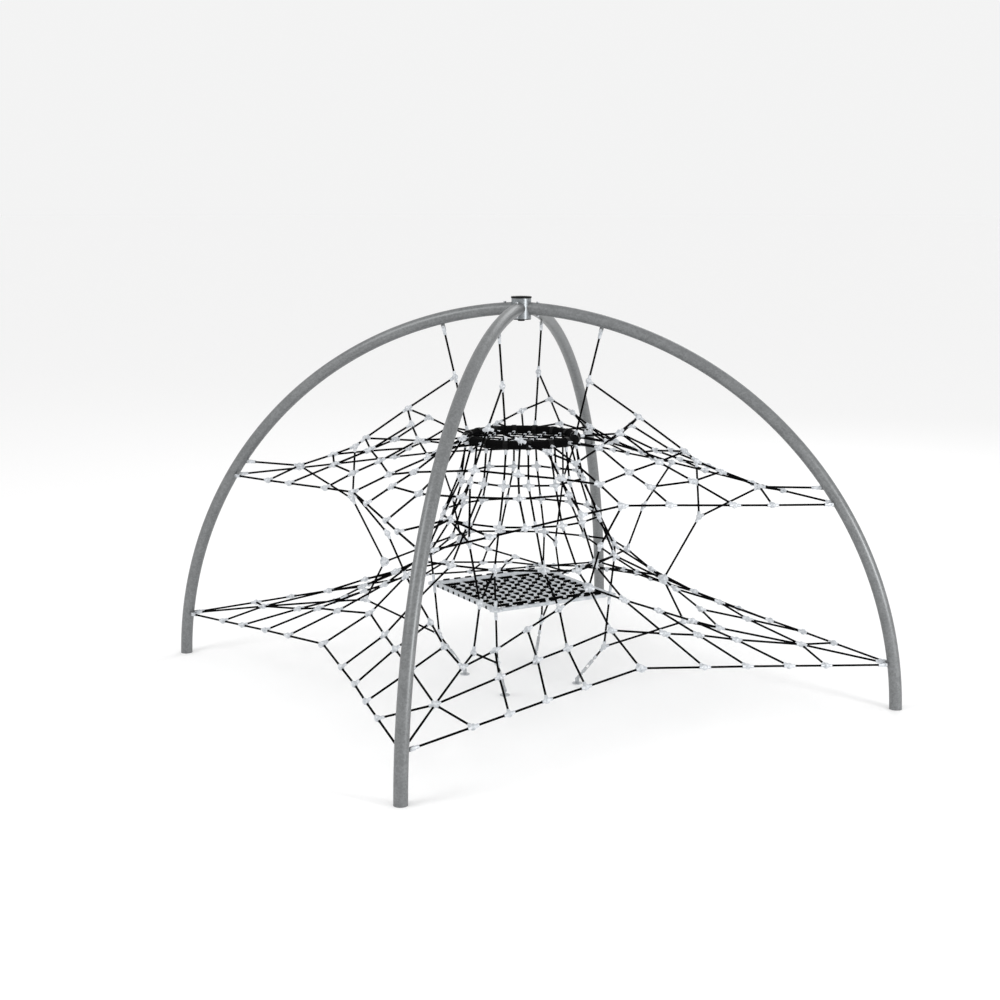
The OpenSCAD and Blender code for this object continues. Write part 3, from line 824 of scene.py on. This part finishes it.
@dataclass
class Mat(Assembly):
    """The square mat low in the dome: border bars, rope runs, clips and lacing."""

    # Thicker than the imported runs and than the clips' skin, which the strands break through;
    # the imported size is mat_rope_runs' own
    rope_diameter: float = 29 * MM
    lacing_diameter: float = 15 * MM
    end_diameter: float = 32 * MM
    end_height: float = 7 * MM
    end_rings: int = 5
    end_swell: float = 0.5
    end_sides: int = 14
    strands: int = 6
    strand_depth: float = 0.16

    def build(self) -> None:
        """Dresses the border and sweeps the runs, the lacing and the knotted rope ends."""
        self.dress("mat_border", CLIP, Slot.ALLOY, 35.0, 4 * MM)
        self.dress("mat_corners", ALLOY, Slot.ALLOY, 35.0)
        self.dress("mat_clips", CLIP, Slot.ALLOY, 35.0)
        tree = rope_tree()
        runs = bar_axes(self.node("mat_rope_runs"))
        for name, axes, diameter in (
                ("mat_rope_runs", runs, self.rope_diameter),
                ("mat_lacing", bar_axes(self.node("mat_lacing")), self.lacing_diameter)):
            rope = grown(name + "_laid", line_mesh(name, axes), tree, {
                "Diameter": diameter, "Lay": 6 * diameter, "Ring Spacing": diameter / 2,
                "Strand Depth": self.strand_depth, "Strands": self.strands,
                "Material": self.material(ROPE)})
            self.settle(rope, name, Slot.ROPE)
        ends = grown("mat_rope_ends", line_mesh("mat_rope_ends", self.ends(runs)), collar_tree(), {
            "Diameter": self.end_diameter, "Rings": self.end_rings, "Ribs": 1.0,
            "Rib Depth": self.end_swell, "Sides": self.end_sides,
            "Material": self.material(ROPE)})
        self.settle(ends, "mat_rope_runs", Slot.ROPE, replace=False)

    def ends(self, runs: Sequence[Axis]) -> list[Axis]:
        """Returns where each run's ends show on the outer faces of the two bars.

        Args:
            runs: The rope runs' axes.

        Returns:
            A short axis for each end, standing out of the bar.
        """
        low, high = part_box("mat_border")
        middle = (low + high) / 2
        corners = [vertex.co - middle for vertex in self.node("mat_border").data.vertices]
        out = []
        for run in runs:
            for end, other in (run, run[::-1]):
                away = (end - other).normalized()
                reach = max(corner.dot(away) for corner in corners)
                face = end + away * (reach - (end - middle).dot(away))
                out.append((face - away * self.end_height, face + away * self.end_height))
        return out


@dataclass
class TieDowns(Assembly):
    """The four turnbuckles that pull the net down to the ground."""

    sides: Sequence[str] = ("east", "north", "west", "south")

    def build(self) -> None:
        """Dresses screws, pins, anchors and the turning barrels."""
        for name in ("tie_upper_screws", "tie_lower_screws", "tie_pins", "ground_anchors"):
            self.dress(name, ZINC, Slot.FITTING)
        for side in self.sides:
            self.dress("barrel_" + side, ZINC, Slot.FITTING, 35.0, 1 * MM)


@dataclass
class Studio:
    """A pale floor, soft light and the camera."""

    floor_radius: float = 380.0
    floor_colour: str = "#ffffff"
    eye: tuple[float, float, float] = (3.997, -14.903, 4.557)
    heading: float = 105.74
    pitch: float = -10.35
    lens: float = 60.16
    sensor: float = 36.0
    sight: float = 900.0
    aim: tuple[float, float, float] = (0.0, 0.0, 1.6)
    sky_colour: str = "#ffffff"
    sky_strength: float = 0.9
    lamps: Sequence[tuple[str, tuple[float, float, float], float, float]] = field(
        default_factory=lambda: (
            ("key", (-9.0, -11.0, 13.0), 7.0, 620.0),
            ("fill", (13.0, -6.0, 3.6), 3.0, 560.0),
            ("rim", (2.0, 13.0, 11.0), 7.0, 260.0)))

    def build(self) -> None:
        """Sets up the floor, the sky, the lamps and the camera."""
        mesh = bpy.data.meshes.new("floor")
        work = bmesh.new()
        bmesh.ops.create_circle(work, cap_ends=True, segments=96, radius=self.floor_radius)
        work.to_mesh(mesh)
        work.free()
        floor = placed("floor", mesh)
        paint = bpy.data.materials.new("pale_floor")
        paint.use_nodes = True
        shader = paint.node_tree.nodes["Principled BSDF"]
        shader.inputs["Base Color"].default_value = linear(self.floor_colour)
        shader.inputs["Roughness"].default_value = 0.9
        floor.data.materials.append(paint)
        self.light()
        self.look()

    def light(self) -> None:
        """Adds an even sky and three large lamps that face the dome's middle."""
        world = bpy.data.worlds.new("sky")
        bpy.context.scene.world = world
        world.use_nodes = True
        sky = world.node_tree.nodes["Background"]
        sky.inputs["Color"].default_value = linear(self.sky_colour)
        sky.inputs["Strength"].default_value = self.sky_strength
        for name, place, size, power in self.lamps:
            data = bpy.data.lights.new(name, "AREA")
            data.shape = "DISK"
            data.size = size
            data.energy = power
            lamp = placed(name, data)
            lamp.location = place
            towards = Vector(self.aim) - Vector(place)
            lamp.rotation_euler = towards.to_track_quat("-Z", "Y").to_euler()

    def look(self) -> None:
        """Adds the camera, level with a standing person on a rise."""
        data = bpy.data.cameras.new("camera")
        data.lens = self.lens
        data.sensor_width = self.sensor
        data.clip_end = self.sight
        camera = placed("camera", data)
        camera.location = self.eye
        yaw, pitch = math.radians(self.heading), math.radians(self.pitch)
        ahead = Vector((math.cos(pitch) * math.cos(yaw), math.cos(pitch) * math.sin(yaw),
                        math.sin(pitch)))
        camera.rotation_euler = ahead.to_track_quat("-Z", "Y").to_euler()
        bpy.context.scene.camera = camera
        bpy.context.scene.view_settings.view_transform = "Standard"


def main() -> None:
    """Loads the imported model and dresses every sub-assembly."""
    logging.basicConfig(level=logging.INFO, format="%(message)s")
    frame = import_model()
    made: dict[Finish, bpy.types.Material] = {}
    Studio().build()
    for assembly in (Legs, Crown, Net, Nest, Mat, TieDowns):
        assembly(frame, made).build()


if __name__ == "__main__":
    main()
